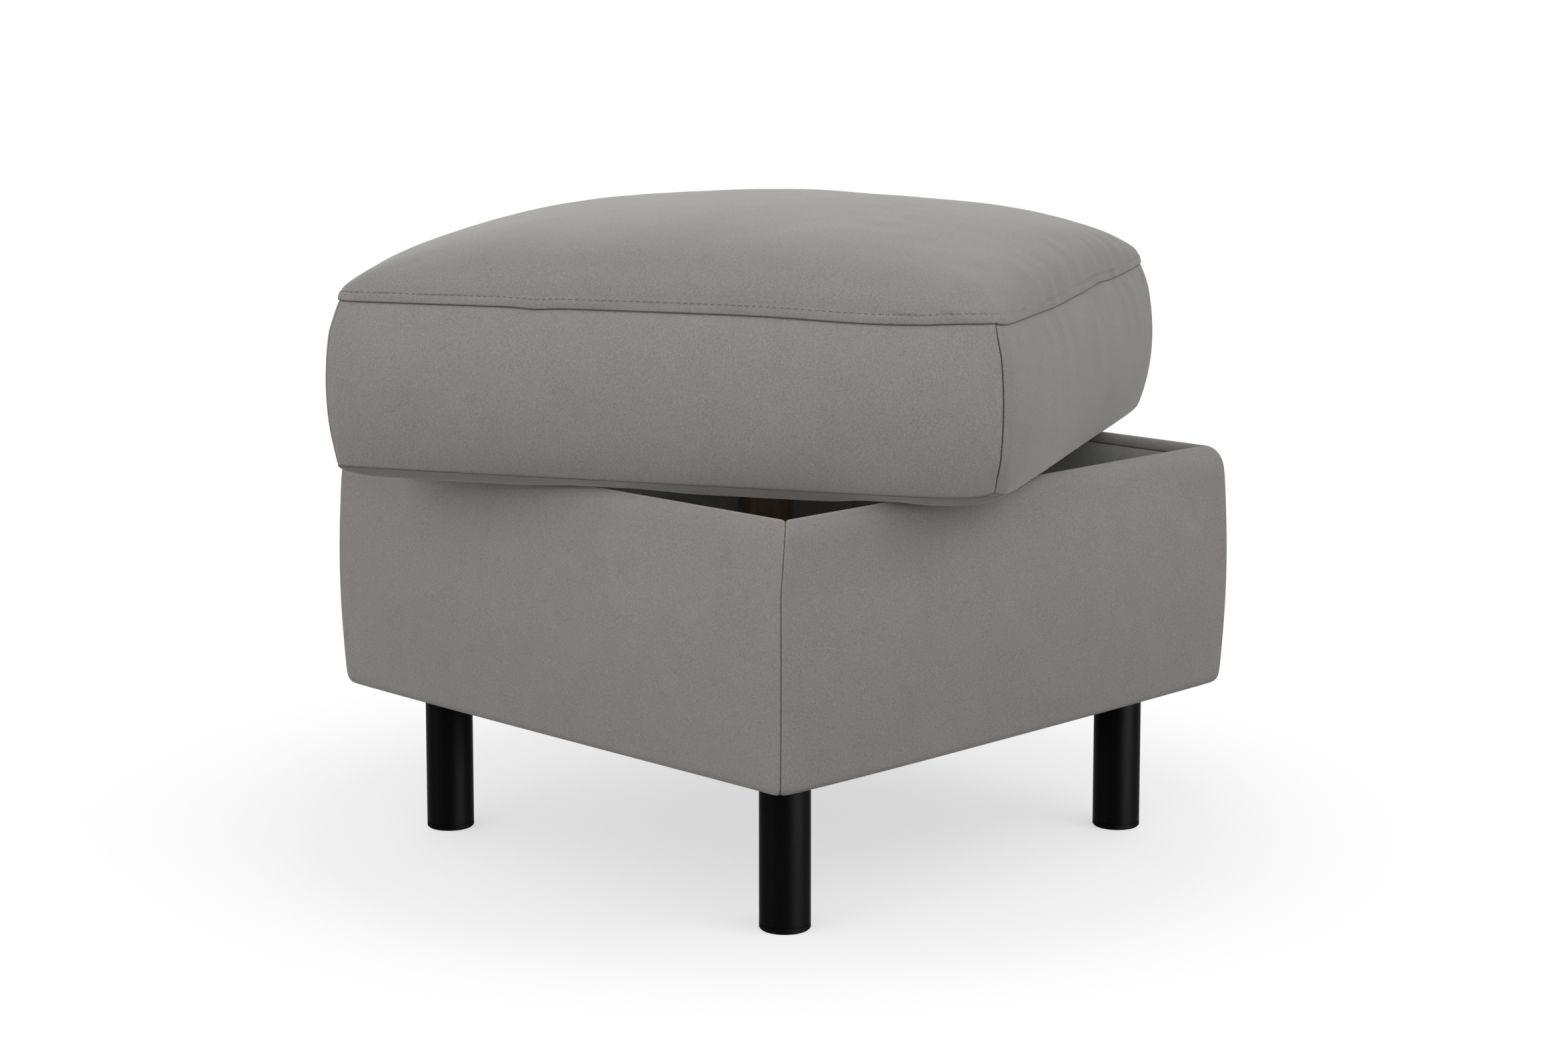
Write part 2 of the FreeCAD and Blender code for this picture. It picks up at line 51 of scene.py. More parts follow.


# ------------------------------------------------------------------ sizes from the frame
def tenth(length):
    """A length from the frame, to a tenth of a millimetre."""
    return round(float(length), 4)


boards_low, boards_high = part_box("side_board_front")[0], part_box("side_board_back")[1]
underside, seam_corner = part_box("cushion_bottom_panel")
boxing_low, boxing_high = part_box("cushion_boxing_front")

BOX_AT = np.array([
    tenth((boards_low.x + boards_high.x) / 2), tenth((boards_low.y + boards_high.y) / 2), 0
])
BOX_HALF = tenth((boards_high.x - boards_low.x) / 2)
BOARD_LOW, BOARD_TOP = tenth(boards_low.z), tenth(boards_high.z)
RIM_TOP = tenth(underside.z - 0.0003)           # just clear of the cushion

TURN = 27                                       # degrees from the box to the cushion lying on it
TURN_REACH = math.cos(math.radians(TURN)) + math.sin(math.radians(TURN))
SEAM_HALF = tenth(seam_corner.x / TURN_REACH)
HIGH_SEAM = tenth(boxing_high.z)
LOW_SEAM = tenth(boxing_low.z - 0.0008)         # drawn down by the slack underside

# ------------------------------------------------------------------ camera
CAMERA_AT = (-1.8128, -1.8201, 0.7268)
CAMERA_HEADING, CAMERA_DOWN = 44.756, 7.309     # degrees, from +X and below level
LENS, SENSOR_WIDTH, LENS_SHIFT = 70.104, 36, -0.1

camera_data = bpy.data.cameras.new("camera")
camera_data.lens, camera_data.sensor_width, camera_data.shift_y = LENS, SENSOR_WIDTH, LENS_SHIFT
camera = bpy.data.objects.new("camera", camera_data)
bpy.context.scene.collection.objects.link(camera)
camera.location = CAMERA_AT
camera.rotation_euler = (math.radians(90 - CAMERA_DOWN), 0, math.radians(CAMERA_HEADING - 90))
bpy.context.scene.camera = camera

# ------------------------------------------------------------------ numbers
WAVES = 14                                      # sine waves that make one patch of unevenness
LEAST_PITCH, PITCH_RANGE = 0.6, 0.8             # how closely they follow, in parts of the given one


def ripples(x, y, wavelength, seed, stretch=1.0):
    """Smooth unevenness of about unit size, the same each run."""
    draw = np.random.RandomState(seed)
    total = np.zeros(np.broadcast(x, y).shape)
    for angle, phase, scale in draw.rand(WAVES, 3):
        k = 2 * math.pi / wavelength * (LEAST_PITCH + PITCH_RANGE * scale)
        turn = 2 * math.pi * angle
        along = x * math.cos(turn) + stretch * y * math.sin(turn)
        total += np.sin(k * along + 2 * math.pi * phase)
    return total / math.sqrt(WAVES / 2)


def bell(x, middle, width):
    """One at the middle, falling to nothing either side."""
    return np.exp(-((x - middle) / width) ** 2)


def decay(distance, reach):
    """One at nothing, falling off sharply, to about a third at the reach."""
    return np.exp(-distance / reach)


def fading(distance, reach):
    """One at a seam, falling off gently at first, to about a third at the reach."""
    return np.exp(-np.abs(distance / reach) ** 1.3)


def crease(distance, depth, reach):
    """A dent along a line."""
    return -depth * bell(distance, 0, reach)


def hills(s, places, start=0):
    """Bells added to a start, from a table of places, half widths and heights."""
    return sum((height * bell(s, at, width) for at, width, height in places), start)


def between(x, low, high, soft):
    """One between low and high, falling to nothing at both over a soft margin."""
    return np.clip((x - low) / soft, 0, 1) * np.clip((high - x) / soft, 0, 1)


def smooth(x):
    """From 0 to 1 without a kink at either end."""
    return x ** 2 * (3 - 2 * x)


def basis(count, where):
    """Weights of a clamped cubic B-spline with that many control points."""
    knots = np.concatenate([np.zeros(3), np.linspace(0, 1, count - 2), np.ones(3)])
    where = np.clip(np.asarray(where, float), 0, 1 - 1e-9)[:, None]
    weights = ((knots[:-1] <= where) & (where < knots[1:])).astype(float)
    for degree in (1, 2, 3):
        left = knots[degree:-1] - knots[:-degree - 1]
        right = knots[degree + 1:] - knots[1:-degree]
        rise = (where - knots[:-degree - 1]) / np.where(left > 0, left, 1)
        fall = (knots[degree + 1:] - where) / np.where(right > 0, right, 1)
        weights = rise * weights[:, :-1] * (left > 0) + fall * weights[:, 1:] * (right > 0)
    return weights


def spaced(along, step):
    """Places on a line of rising distances, so that each gap is about step(distance) long."""
    density = 1 / step(along)
    count = np.concatenate([[0], np.cumsum((density[1:] + density[:-1]) / 2 * np.diff(along))])
    places = int(round(count[-1]))
    return np.interp(np.linspace(0, count[-1], places + 1), count, along)


def finer_by_seams(finest, wider, over, both_ends=True):
    """Spacing along a line that ends in a seam, and is wider by so much away from it."""
    def step(along):
        to_seam = along[-1] - along
        if both_ends:
            to_seam = np.minimum(along, to_seam)
        return finest + wider * (1 - decay(to_seam, over))
    return step


def run(points):
    """Distance along a row of points, from its start."""
    steps = np.linalg.norm(np.diff(points, axis=0), axis=-1)
    return np.concatenate([np.zeros((1,) + steps.shape[1:]), np.cumsum(steps, axis=0)])


def normals(grid):
    """Unit normals of a grid of points."""
    across = np.cross(np.gradient(grid, axis=0), np.gradient(grid, axis=1))
    return across / np.maximum(np.linalg.norm(across, axis=-1, keepdims=True), 1e-12)


def turned(points, degrees):
    """Points turned about the Z axis."""
    c, s = math.cos(math.radians(degrees)), math.sin(math.radians(degrees))
    x, y, z = points[..., 0], points[..., 1], points[..., 2]
    return np.stack([c * x - s * y, s * x + c * y, z], axis=-1)


# ------------------------------------------------------------------ pieces
def piece(name, points, faces, body, material, marks=None):
    """A mesh that rides on a body. marks are named numbers on its points, for its material."""
    mesh = bpy.data.meshes.new(name)
    mesh.from_pydata(np.asarray(points).tolist(), [], [list(map(int, face)) for face in faces])
    mesh.validate()
    for mark, values in (marks or {}).items():
        layer = mesh.attributes.new(mark, "FLOAT", "POINT")
        layer.data.foreach_set("value", np.asarray(values, np.float32).ravel())
    mesh.shade_smooth()
    thing = bpy.data.objects.new(name, mesh)
    bpy.context.scene.collection.objects.link(thing)
    mesh.materials.append(material)
    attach(thing, body)
    return thing


def quads(index):
    """Faces of a grid of point numbers."""
    a, b, c, d = index[:-1, :-1], index[1:, :-1], index[1:, 1:], index[:-1, 1:]
    return np.stack([a, b, c, d], axis=-1).reshape(-1, 4)


# ------------------------------------------------------------------ materials
class Nodes:
    """The nodes of a material or a world, made by short calls."""

    def __init__(self, owner, shader="Principled BSDF"):
        self.owner = owner
        owner.use_nodes = True
        self.tree = owner.node_tree
        self.shader = self.tree.nodes[shader]

    def feed(self, socket, value):
        """Link a value that comes from a node, or set one that is plain."""
        if isinstance(value, bpy.types.NodeSocket):
            self.tree.links.new(value, socket)
        else:
            socket.default_value = value

    def node(self, kind, **inputs):
        made = self.tree.nodes.new(kind)
        for key, value in inputs.items():
            self.feed(made.inputs[key.replace("_", " ")], value)
        return made

    def place(self):
        """Where a point is on its object."""
        return self.tree.nodes.new("ShaderNodeTexCoord").outputs["Object"]

    def noise(self, scale, detail=2.0, rough=0.5, stretch=None):
        vector = self.place()
        if stretch:
            vector = self.node("ShaderNodeMapping", Vector=vector, Scale=stretch).outputs["Vector"]
        return self.node(
            "ShaderNodeTexNoise", Vector=vector, Scale=scale, Detail=detail, Roughness=rough
        ).outputs["Fac"]

    def spread(self, value, low_to=0.0, high_to=1.0, within=(0.3, 0.7)):
        """A value stretched from its usual range, which by default is that of noise, to another."""
        return self.node(
            "ShaderNodeMapRange", Value=value, From_Min=within[0], From_Max=within[1],
            To_Min=low_to, To_Max=high_to,
        ).outputs["Result"]

    def maths(self, operation, *values, kind="ShaderNodeMath"):
        made = self.node(kind)
        made.operation = operation
        for socket, value in zip(made.inputs, values):
            self.feed(socket, value)
        return made.outputs["Value"]

    def mix(self, factor, first, second, kind="RGBA"):
        made = self.tree.nodes.new("ShaderNodeMix")
        made.data_type = kind
        for key, value in zip(("Factor", "A", "B"), (factor, first, second)):
            self.feed(made.inputs[key], value)
        return made.outputs["Result"]

    def mix_shaders(self, factor, first, second):
        """The first shader where the factor is nothing, the second where it is one."""
        made = self.node("ShaderNodeMixShader", Fac=factor)
        for socket, value in zip(made.inputs[1:], (first, second)):
            self.feed(socket, value)
        return made.outputs[0]

    def bump(self, height, distance, strength):
        made = self.node("ShaderNodeBump", Height=height, Distance=distance, Strength=strength)
        return made.outputs["Normal"]

    def seen(self):
        """One where this is looked at, also in gloss or through glass, and nothing otherwise."""
        rays = self.node("ShaderNodeLightPath").outputs
        first = self.maths("ADD", rays["Is Camera Ray"], rays["Is Glossy Ray"])
        total = self.maths("ADD", first, rays["Is Transmission Ray"])
        total.node.use_clamp = True
        return total

    def finish(self, **inputs):
        """Set the shader's inputs, and give back the material."""
        for key, value in inputs.items():
            self.feed(self.shader.inputs[key.replace("_", " ")], value)
        return self.owner


def srgb(red, green, blue):
    """A colour written as on screen, from 0 to 255, as linear numbers."""
    def linear(value):
        value /= 255
        return value / 12.92 if value <= 0.04045 else ((value + 0.055) / 1.055) ** 2.4
    return (linear(red), linear(green), linear(blue), 1.0)


def velour(name, light, dark, warm, seam):
    """Short-napped velour: clouded, finely mottled, soft at grazing angles, with painted shade in
    its seams.
    """
    m = Nodes(bpy.data.materials.new(name))
    mottle = m.noise(scale=800, detail=3.0, rough=0.75)
    fleck = m.noise(scale=2600, detail=2.0, rough=0.6)
    cloud = m.noise(scale=34, detail=4.0, rough=0.6)
    drift = m.noise(scale=7, detail=2.0, rough=0.5)
    patches = m.noise(scale=55, detail=3.0, rough=0.6, stretch=(1, 1, 0.6))
    mottled = m.maths("ADD", m.spread(mottle, -0.34, 0.34), m.spread(fleck, -0.12, 0.12))
    tone = m.maths("ADD", mottled, m.spread(cloud, 0.46, 0.54))
    colour = m.mix(tone, dark, light)
    colour = m.mix(m.spread(patches, 0.0, 0.4, within=(0.35, 0.7)), colour, warm)
    colour = m.mix(m.spread(drift, 0.0, 0.05), colour, dark)
    # Painted shade: the seam mark darkens the seams' grooves towards the seam colour.
    mark = m.node("ShaderNodeAttribute")
    mark.attribute_name = "seam"
    wide = {"within": (0.2, 0.8)}
    pile = m.maths("ADD", m.spread(mottle, 0.0, 0.7, **wide), m.spread(fleck, 0.0, 0.3, **wide))
    return m.finish(
        Base_Color=m.mix(mark.outputs["Fac"], colour, seam),
        Roughness=0.92, Specular_IOR_Level=0.03,
        Sheen_Weight=0.62, Sheen_Roughness=0.42, Sheen_Tint=srgb(205, 205, 200),
        Normal=m.bump(pile, distance=0.00035, strength=0.5),
    )


def wood(name, pale, brown, along):
    """Sawn softwood with its grain along one axis."""
    m = Nodes(bpy.data.materials.new(name))
    stretch = tuple(0.06 if axis == along else 1.0 for axis in range(3))
    grain = m.noise(scale=160, detail=6.0, rough=0.62, stretch=stretch)
    band = m.noise(scale=22, detail=2.0, rough=0.5, stretch=stretch)
    fibre = m.noise(scale=900, detail=3.0, rough=0.6, stretch=stretch)
    colour = m.mix(m.spread(grain, within=(0.38, 0.66)), pale, brown)
    height = m.maths("ADD", m.spread(grain), m.spread(fibre, 0.0, 0.5))
    return m.finish(
        Base_Color=m.mix(m.spread(band, 0.0, 0.45, within=(0.4, 0.7)), colour, brown),
        Roughness=m.spread(grain, 0.55, 0.75),
        Normal=m.bump(height, distance=0.0003, strength=0.5),
    )


def plain(name, first, second, scale, roughness, bump, **more):
    """A finish with two close tones, uneven gloss and a fine grain."""
    m = Nodes(bpy.data.materials.new(name))
    tone = m.noise(scale=scale, detail=4.0, rough=0.6)
    fine = m.noise(scale=scale * 9, detail=3.0, rough=0.6)
    wide = {"within": (0.2, 0.8)}
    height = m.maths("ADD", m.spread(fine, **wide), m.spread(tone, 0.0, 0.5, **wide))
    return m.finish(
        Base_Color=m.mix(m.spread(tone, within=(0.35, 0.65)), first, second),
        Roughness=m.spread(tone, roughness - 0.05, roughness + 0.05),
        Normal=m.bump(height, distance=bump, strength=0.6),
        **more,
    )


FABRIC = velour(
    "velour", light=srgb(168, 164, 162), dark=srgb(118, 114, 113), warm=srgb(148, 145, 139),
    # seam: the colour of the painted shade in the seams' grooves.
    seam=srgb(52, 50, 49),
)
# The thread is drawn darker than the velour, as painted shade of the dent that it is sunk in.
THREAD_WITH_SHADE = plain("thread", srgb(84, 81, 80), srgb(72, 69, 68), scale=1500, roughness=0.8, bump=0.0002)
BLACK_TUBE = plain(
    "powder_coat", srgb(13, 13, 13), srgb(10, 10, 10), scale=700, roughness=0.36, bump=0.00008,
    Specular_IOR_Level=0.01,
)
GLIDE = plain(
    "glide_plastic", srgb(12, 12, 12), srgb(9, 9, 9), scale=500, roughness=0.5, bump=0.0001,
    Specular_IOR_Level=0.01,
)
STEEL = plain(
    "zinc_plate", srgb(176, 178, 180), srgb(150, 152, 156), scale=300, roughness=0.35, bump=0.00008,
    Metallic=1.0,
)
LINING = plain(
    "lining_board", srgb(212, 212, 209), srgb(202, 202, 199), scale=240, roughness=0.82, bump=0.0002
)
NONWOVEN = plain(
    "nonwoven", srgb(46, 46, 47), srgb(34, 34, 35), scale=650, roughness=0.9, bump=0.0003
)
WADDING = plain(
    "wadding", srgb(232, 230, 224), srgb(214, 212, 206), scale=260, roughness=0.95, bump=0.0006
)
PINE_UP = wood("pine_upright", srgb(196, 174, 148), srgb(176, 150, 122), along=2)
BOARD_PALE, BOARD_BROWN = srgb(206, 178, 140), srgb(172, 138, 100)
PINE_X = wood("board_along_x", BOARD_PALE, BOARD_BROWN, along=0)
PINE_Y = wood("board_along_y", BOARD_PALE, BOARD_BROWN, along=1)

FINISHES = {                                    # by how a node's name starts, first match first
    "side_board_front": PINE_X, "side_board_back": PINE_X,
    "side_board_left": PINE_Y, "side_board_right": PINE_Y,
    "corner_batten": PINE_UP, "floor_board": PINE_X, "cushion_board": PINE_X,
    "dust_cover": NONWOVEN, "lining": LINING, "leg_tube": BLACK_TUBE, "leg_glide": GLIDE,
    "leg_stud": BLACK_TUBE, "tee_nut": STEEL, "cover": FABRIC, "side_pad": WADDING,
    "rim_wadding": WADDING, "cushion_foam": WADDING, "cushion_under_pad": WADDING,
    "cushion": FABRIC,
}
for node_name, node_object in nodes.items():
    finish = next(made for start, made in FINISHES.items() if node_name.startswith(start))
    node_object.data.materials.clear()
    node_object.data.materials.append(finish)

# ------------------------------------------------------------------ upholstered box
# Depths are measured from the box's middle, straight out towards the side.
EDGE, HEM, CREST, INSIDE = 0.268, 0.246, 0.254, 0.242       # of the foot, hem, crest and turn-in
UNDER, FOOT = 0.125, 0.135                      # heights of the cover's hem and of its foot
FOOT_PULL = 0.003                               # how far the foot is drawn in at the corners
FOOT_OUT, FOOT_UP = 0.005, 0.010                # rounding of the foot
RIM_OUT, RIM_FALL, TURN_IN_FALL = 0.012, 0.022, 0.0081      # rounding of the rim, and inside it
BOW, BOW_MORE = 0.0026, 0.008                   # bow of a side at its corners, more in its middle
STATIONS = np.array([-1, -0.9, -0.6, 0, 0.6, 0.9, 1])
UP_STEP, TURN_STEP = 0.0032, 0.13               # spacing up a side, in metres and in radians
CLEAR = 0.0003                                  # between the cover's back and the boards
CORNER_CLEAR = 0.02                             # how near a corner seam unevenness fades out
FACE_HEIGHTS = (0.126, 0.328)                   # between which a side is uneven
GROOVE, GROOVE_REACH, SEAM_LINE = 0.0010, 0.004, 0.0006     # how a corner seam draws the sides in
NOTCH, NOTCH_REACH, NOTCH_TOP = 0.0014, 0.0025, 0.155       # the foot drawn up at a corner seam
FACE_WAVES = ((0.00035, 0.12, 11), (0.00007, 0.03, 31))     # height, wavelength, seed
FOOT_WAVE, FOOT_WAVELENGTH, FOOT_SEED = 0.00012, 0.040, 51
PUCKER_AT = 0.150                               # height at which the foot is most uneven
PUCKERS = (                                     # place along the left side, half width, height
    (0.205, 0.010, 0.0004), (0.172, 0.008, -0.0003), (0.146, 0.009, 0.0004),
    (0.118, 0.012, -0.0003), (0.020, 0.010, 0.0002), (-0.060, 0.012, 0.0003),
    (-0.088, 0.009, -0.0002),
)
WANDER, WANDER_REACH, WANDER_TOP = 0.0040, 0.05, 0.326      # how the near corner's seam strays
WANDER_WAY = np.array([-0.7, 0.7, 0])


def box_path(station):
    """Control points (depth, height) of the cover at a station, from the hem over the rim."""
    fullness = 1 - abs(station) ** 4
    foot = EDGE - FOOT_PULL * (1 - fullness)
    shoulder = RIM_TOP - RIM_FALL
    path = [(HEM, UNDER), ((HEM + BOX_HALF) / 2, UNDER)]
    for degrees in (-90, -60, -30):
        angle = math.radians(degrees)
        path.append((foot - FOOT_OUT * (1 - math.cos(angle)), FOOT + FOOT_UP * math.sin(angle)))
    for step in (0, 0.06, 0.16, 0.3, 0.45, 0.6, 0.75, 0.88):
        bow = (BOW + BOW_MORE * fullness) * math.sin(math.pi * step)
        out = foot + (CREST + RIM_OUT - foot) * step + bow
        path.append((out, FOOT + (shoulder - FOOT) * step))
    for degrees in (0, 25, 50, 70, 90, 110, 135, 160, 180):
        angle = math.radians(degrees)
        reach, fall = (RIM_OUT, RIM_FALL) if degrees <= 90 else (CREST - INSIDE, TURN_IN_FALL)
        path.append((CREST + reach * math.cos(angle), RIM_TOP - fall * (1 - math.sin(angle))))
    return path


def box_side(side):
    """Points of one side's cover and how much painted shade each gets in a seam, corner to corner.
    """
    net = np.array([[(s * n, n, z) for n, z in box_path(s)] for s in STATIONS])
    dense = np.linspace(0, 1, 2001)
    middle = basis(net.shape[1], dense) @ net[len(STATIONS) // 2]
    length = run(middle)
    heading = np.unwrap(np.arctan2(*np.gradient(middle[:, 1:], axis=0).T[::-1]))
    sharp = np.abs(np.gradient(heading, length + 1e-9 * np.arange(len(length))))

    def up_step(along):
        return 1 / (1 / UP_STEP + np.interp(along, length, sharp) / TURN_STEP)

    up = np.interp(spaced(length, up_step), length, dense)
    reach = basis(len(STATIONS), dense) @ (STATIONS * EDGE) + EDGE
    across_step = finer_by_seams(finest=0.0004, wider=0.0030, over=0.006)
    over = np.interp(spaced(reach, across_step), reach, dense)
    grid = np.einsum(
        "ui,ijk,vj->uvk", basis(len(STATIONS), over), net, basis(net.shape[1], up)
    )
    x, n, z = grid[..., 0], grid[..., 1], grid[..., 2]
    slope = np.gradient(grid[..., 1:], axis=1)
    slope /= np.linalg.norm(slope, axis=-1, keepdims=True)
    corner = n - np.abs(x)                                   # distance from the corner seam
    push = -GROOVE * np.clip(1 - corner / GROOVE_REACH, 0, 1) ** 2
    push = push + crease(corner, SEAM_LINE, reach=0.0006)
    face = (1 - bell(corner, 0, CORNER_CLEAR)) * between(z, *FACE_HEIGHTS, soft=0.03)
    for height, wavelength, seed in FACE_WAVES:
        push = push + height * face * ripples(x, z, wavelength, seed + side)
    foot = face * bell(z, PUCKER_AT, width=0.030)
    push = push + FOOT_WAVE * foot * ripples(x, z, FOOT_WAVELENGTH, FOOT_SEED + side, stretch=0.15)
    if side == 3:
        for at, width, height in PUCKERS:
            push = push + height * face * bell(x, at, width) * bell(z, PUCKER_AT, width=0.045)
    n_out = n + push * slope[..., 1]
    notch = NOTCH * decay(corner, NOTCH_REACH) * np.clip((NOTCH_TOP - z) / 0.02, 0, 1)
    z_out = z - push * slope[..., 0] + notch
    # Painted shade in the groove of the corner seam.
    seam = BOX_SEAM_SHADE * bell(corner, 0, width=0.00045)
    return np.stack([x * n_out / n, -n_out, z_out], axis=-1), seam


def box_cover():
    """The whole upholstery of the box as one closed ring, lying on the boards."""
    rows, marks = [], []
    back_depth = np.array([BOX_HALF + CLEAR, BOX_HALF + CLEAR, HEM])
    back_height = np.array([BOARD_TOP + CLEAR, BOARD_LOW - CLEAR, BOARD_LOW - CLEAR])
    for side in range(4):
        grid, seam = box_side(side)
        share = (grid[:, -1, 0] / -grid[:, -1, 1])[:, None]
        back = np.stack(np.broadcast_arrays(share * back_depth, -back_depth, back_height), axis=-1)
        ring = turned(np.concatenate([grid, back], axis=1), 90 * side)
        rows.append(ring[:-1])
        # Painted shade of the seams; none on the cover's back.
        marks.append(np.concatenate([seam, np.zeros(back.shape[:2])], axis=1)[:-1])
    points = np.concatenate(rows)
    near_corner = np.hypot(points[..., 0] + BOX_HALF, points[..., 1] + BOX_HALF)
    below_rim = np.clip((WANDER_TOP - points[..., 2]) / 0.05, 0, 1)
    wander = WANDER * decay(near_corner, WANDER_REACH) * below_rim
    points = points + BOX_AT + wander[..., None] * WANDER_WAY
    index = np.arange(points.shape[0] * points.shape[1]).reshape(points.shape[:2])
    index = np.concatenate([index, index[:1]], axis=0)
    index = np.concatenate([index, index[:, :1]], axis=1)
    cover = piece(
        "box_upholstery", points.reshape(-1, 3), quads(index)[:, ::-1], "base",
        FABRIC, {"seam": np.concatenate(marks)},
    )
    layers = ("cover_panel", "side_pad", "rim_wadding")
    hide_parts(*[f"{layer}_{side}" for layer in layers for side in SIDES])


box_cover()

# ------------------------------------------------------------------ seat cushion
HANG, SLACK = 0.0084, 0.0020                    # underside below its seam on the rim, more off it
ROLL = 0.022                                    # how far in from its seam the underside rolls over
STITCH_IN = 0.0076                              # topstitching, in from the upper seam
STITCH_PITCH, STITCH_LONG = 0.0055, 0.0037
THREAD_THICK, THREAD_LIFT = 0.00030, 0.1        # half thickness, and rise in parts of it
STITCH_FREE = 0.007                             # no stitch nearer a corner than this
STITCH_RINGS = (0.45, 1.0, 1.0, 0.45)           # thickness along a stitch
STITCH_CORNERS = 6                              # of its cross-section
FOLD, LEAN = 0.0023, 1.2                        # height of the folds by the upper seam, their slant
CROWN, CROWN_POWER, CROWN_EDGE = 0.072, 1.9, 0.31
BOXING_BOW, BOXING_SWELL = 0.0065, 0.0100       # how far a side bulges, and more off its corners
COARSE, SETTLING_FRAMES = 0.0095, 20            # mesh and length of the cloth simulation
LOOSE = 0.05                                    # extra cloth where it is loosest, as a share
FOLD_SHARE, FOLD_MOST = 0.36, 0.006             # kept of a simulated fold, and its furthest move
CURL = (0.0060, 0.0060, 0.0060, 0.0008)         # rise of the lower seam where each side begins
CURL_REACH = 0.018
RIM_BAND = (0.214, 0.288)                       # where the rim carries the underside
FRONT_SAG, HIDDEN_SAG, HIDDEN_WAVE = 0.0042, 0.0022, 0.0008     # of the upper seam
FRONT_WAVES = ((0.26, 0.13, 0.0022), (-0.35, 0.20, -0.0012))    # place, half width, height
LEFT_WAVES = ((-0.36, 0.05, -0.0012), (0.66, 0.26, -0.0032))
LOW_RADIUS, LEFT_RADIUS = 0.016, 0.007          # the photograph's left corner is fuller
MIDDLE_RADIUS, HIGH_RADIUS = 0.006, 0.016
ROUND_PULL, ROUND_SPAN = 0.29, 1.5              # a corner's move and width, in parts of its radius
BOXING_WAVES = (0.0004, 0.12, 91)               # height, wavelength, seed
TOP_WAVES = ((0.00045, 0.17, 101), (0.00008, 0.05, 102))
GATHER_WAVES = (0.10, 0.035, 71)
BROAD_SIDE, BROAD_TOP = (11, 5), (13, 13)       # control points of the swell that isn't kept
LOOSE_ALL, FOLDS_LOW = 0.12, 0.06               # least looseness, and least share of folds low down
CORNER_DENT, CORNER_LINE = 0.0012, 0.0012       # depths of a boxing's corner seams, wide and narrow
HIGH_DENT, LOW_LINE = 0.0010, 0.0008            # depths at its upper and its lower seam
BOXING_FOLD, FOLD_REACH = 0.7, 0.030            # part of the folds below the seam, reach above it
ROLL_LONGER, ROLL_LEFT = 0.8, -0.4              # more of ROLL at a corner, and at the left one
LOW_SPAN, HIGH_SPAN = 0.03, 0.025               # heights over which a corner's radius changes
FLAP, FLAP_RISE, FLAP_END = 0.0012, 0.0011, 0.0008      # seam allowance: height, width of edges
STITCH_DENT = 0.0005                            # depth of the dent that the stitches make
FOLDS = {                                       # place along the side, half width, part of FOLD
    0: ((-0.52, 0.030, 0.9), (-0.37, 0.036, 0.9), (-0.28, 0.032, -0.5), (-0.16, 0.050, 0.3),
        (0.03, 0.036, 0.8), (0.12, 0.034, -0.5), (0.27, 0.040, 0.4), (0.48, 0.034, 1.0),
        (0.57, 0.028, -0.8), (0.65, 0.032, 0.7), (0.76, 0.030, 0.55), (0.83, 0.024, -0.4),
        (0.90, 0.026, 0.5)),
    1: ((-0.72, 0.045, 0.6), (-0.42, 0.040, -0.4), (-0.18, 0.050, 0.5), (0.15, 0.040, 0.45),
        (0.58, 0.045, 0.7)),
    2: ((-0.66, 0.050, 0.5), (-0.25, 0.045, 0.4), (0.20, 0.055, 0.45), (0.50, 0.040, -0.3),
        (0.78, 0.040, 0.6)),
    3: ((-0.37, 0.040, 0.25), (0.10, 0.060, 0.12), (0.64, 0.050, 0.2)),
}


def edge_steps():
    """Places from -1 to 1 across the cushion, close together by the seams."""
    by_seam = 1 - np.geomspace(1e-9, 0.1, 900)[::-1]
    u = np.concatenate([np.linspace(0, 0.9, 400)[:-1], by_seam, [1.0]])
    rise = CROWN * np.maximum(1 - u ** CROWN_POWER, 0) ** CROWN_EDGE
    length = run(np.stack([u * SEAM_HALF, rise], axis=-1))
    step = finer_by_seams(finest=0.00045, wider=0.0033, over=0.014, both_ends=False)
    half = np.interp(spaced(length, step), length, u)
    return np.concatenate([-half[:0:-1], half])


def seam_wave(side, s):
    """How far the upper seam strays from level on one side."""
    free = 1 - s ** 4
    if side == 0:
        return hills(s, FRONT_WAVES, -FRONT_SAG * np.sqrt(np.maximum(free, 0)))
    if side == 3:
        return hills(s, LEFT_WAVES) * np.minimum(1, (1 - s) * 5)
    return -HIDDEN_SAG * free + HIDDEN_WAVE * free * np.sin(9 * s + side)


def low_wave(side, s):
    """How far the lower seam curls up into the corners of one side."""
    begin, end = (decay((1 + way * s) * SEAM_HALF, CURL_REACH) for way in (1, -1))
    return CURL[side] * begin + CURL[(side + 1) % 4] * end


def gathers(side, s):
    """Folds across the upper seam of one side."""
    height, wavelength, seed = GATHER_WAVES
    fine = height * ripples(s * SEAM_HALF, 0 * s, wavelength, seed + side)
    return (hills(s, FOLDS[side]) + fine) * (1 - np.abs(s) ** 12)


def rounded(points):
    """The cushion's points with its corners rounded in plan, least half way up the boxing."""
    x, y, z = points[..., 0], points[..., 1], points[..., 2]
    low = np.where((x < 0) & (y > 0), LEFT_RADIUS, LOW_RADIUS)
    radius = (
        MIDDLE_RADIUS + (low - MIDDLE_RADIUS) * np.clip(1 - (z - LOW_SEAM) / LOW_SPAN, 0, 1)
        + (HIGH_RADIUS - MIDDLE_RADIUS) * np.clip(1 - (HIGH_SEAM - z) / HIGH_SPAN, 0, 1)
    )
    corner = np.maximum(SEAM_HALF - np.abs(x), 0) + np.maximum(SEAM_HALF - np.abs(y), 0)
    pull = ROUND_PULL * radius * np.maximum(1 - corner / (ROUND_SPAN * radius), 0) ** 2
    return np.stack([x - np.sign(x) * pull, y - np.sign(y) * pull, z], axis=-1)


